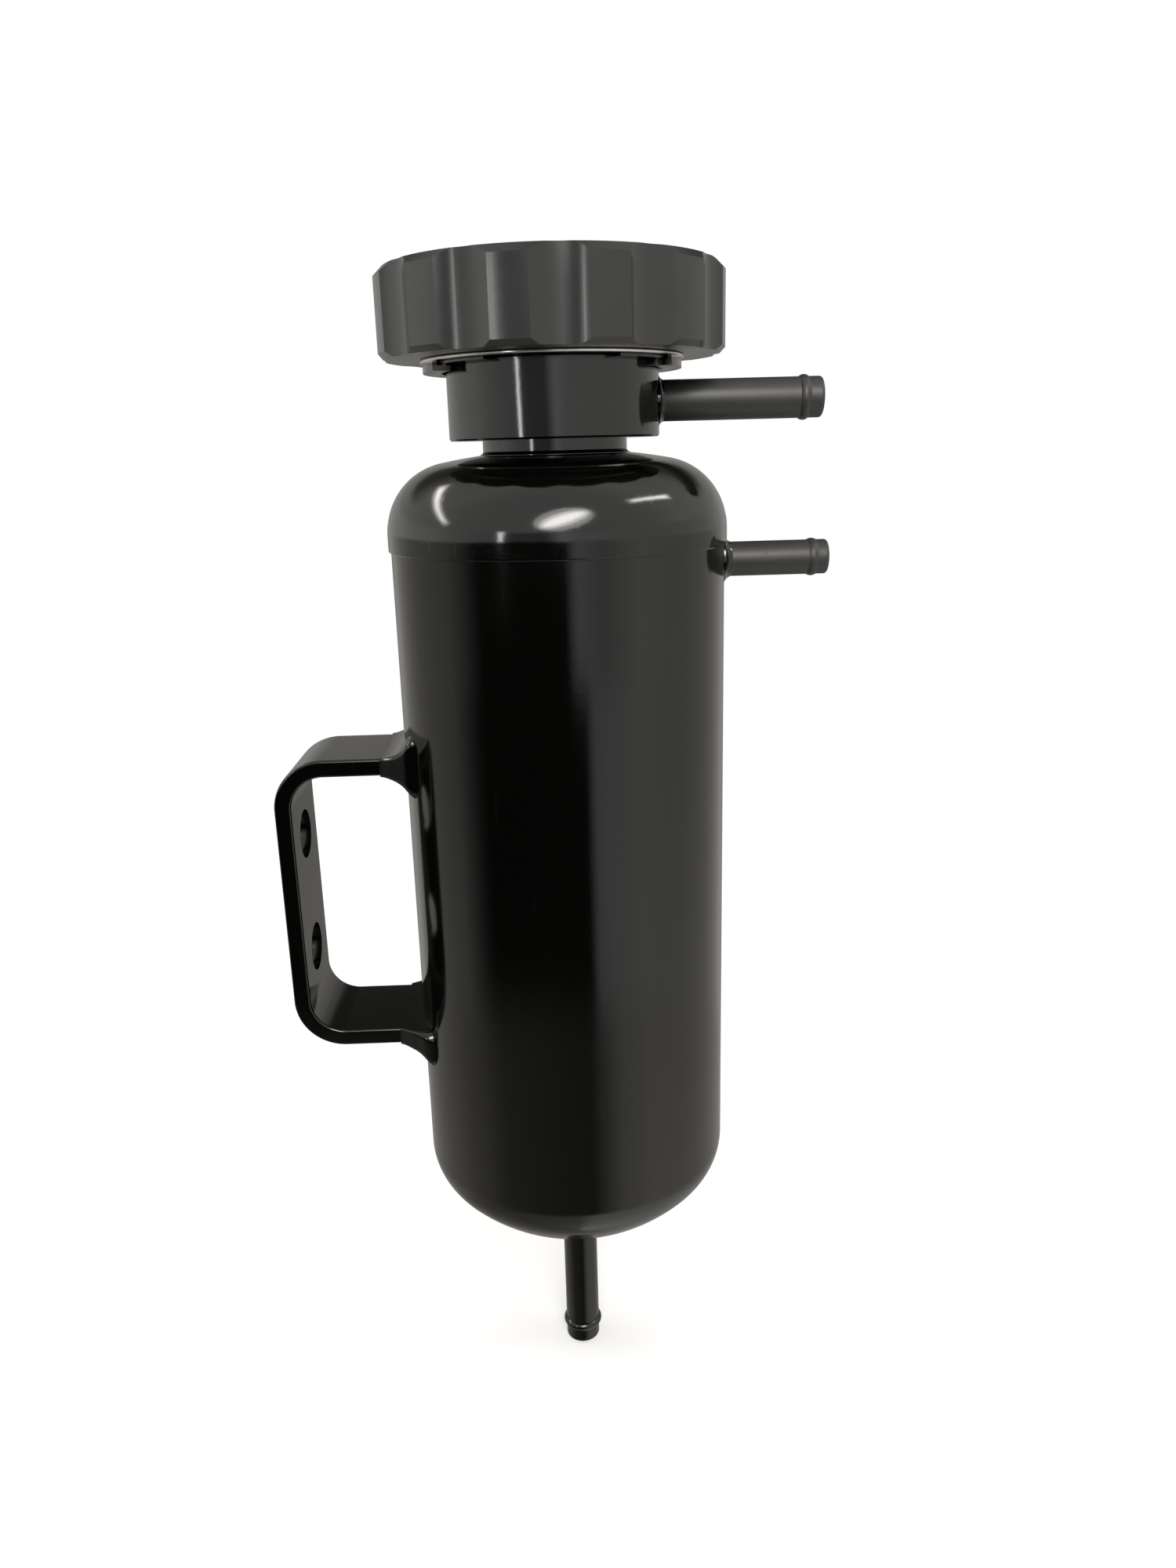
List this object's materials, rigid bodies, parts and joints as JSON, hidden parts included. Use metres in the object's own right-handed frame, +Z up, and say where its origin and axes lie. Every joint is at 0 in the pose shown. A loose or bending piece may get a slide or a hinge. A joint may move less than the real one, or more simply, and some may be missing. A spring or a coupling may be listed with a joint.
{
  "type": "coolant expansion tank",
  "caption": "Slim cylindrical coolant expansion tank with domed ends, a welded strap bracket, beaded hose nipples and a scalloped bayonet pressure cap on a turned filler neck.",
  "frame": {"origin": "midway between the bracket's two bolt holes, on the outer face of its plate, where the tank is bolted to the car", "axes": "+Z up along the tank's axis towards the cap, -X out of the bracket's plate towards the car, +X along the side nipples"},
  "size_m": [0.1306, 0.0778, 0.2776],
  "materials": {
    "black_coat": "glossy black powder coat with a fine orange peel",
    "black_anodised": "satin black anodised billet",
    "stainless": "pressed stainless steel, satin",
    "spring_steel": "plain spring wire",
    "rubber": "matt black rubber",
    "brass": "turned brass"
  },
  "bodies": {
    "tank": {"tank_body": "black_coat", "top_dome": "black_coat", "girth_weld": "black_coat", "filler_neck": "black_coat", "neck_weld": "black_coat", "overflow_nipple": "black_coat", "overflow_weld": "black_coat", "bleed_nipple": "black_coat", "bleed_weld": "black_coat", "feed_spigot": "black_coat", "feed_weld": "black_coat", "mounting_bracket": "black_coat", "bracket_weld_upper": "black_coat", "bracket_weld_lower": "black_coat"},
    "cap": {"cap_cover": "black_anodised", "cap_shell": "stainless", "diaphragm": "stainless", "cap_gasket": "rubber", "spring_bell": "stainless", "centre_rivet": "stainless", "pressure_spring": "spring_steel"},
    "pressure_valve": {"pressure_plate": "stainless", "pressure_seal": "rubber", "vacuum_spring": "spring_steel"},
    "vacuum_valve": {"vacuum_valve": "brass"}
  },
  "joints": [
    {"name": "cap_turn", "type": "hinge", "parent": "tank", "child": "cap", "pos_m": [0.0683, 0, 0.1241], "axis": [0, 0, 1], "range_deg": [0, 90]},
    {"name": "pressure_valve", "type": "slide", "parent": "cap", "child": "pressure_valve", "axis": [0, 0, 1], "range_m": [0, 0.003], "stiffness_N_per_m": 300, "springref_m": -0.005, "deforming": ["pressure_spring"]},
    {"name": "vacuum_valve", "type": "slide", "parent": "pressure_valve", "child": "vacuum_valve", "axis": [0, 0, -1], "range_m": [0, 0.0016], "stiffness_N_per_m": 60, "springref_m": -0.003, "deforming": ["vacuum_spring"]}
  ]
}
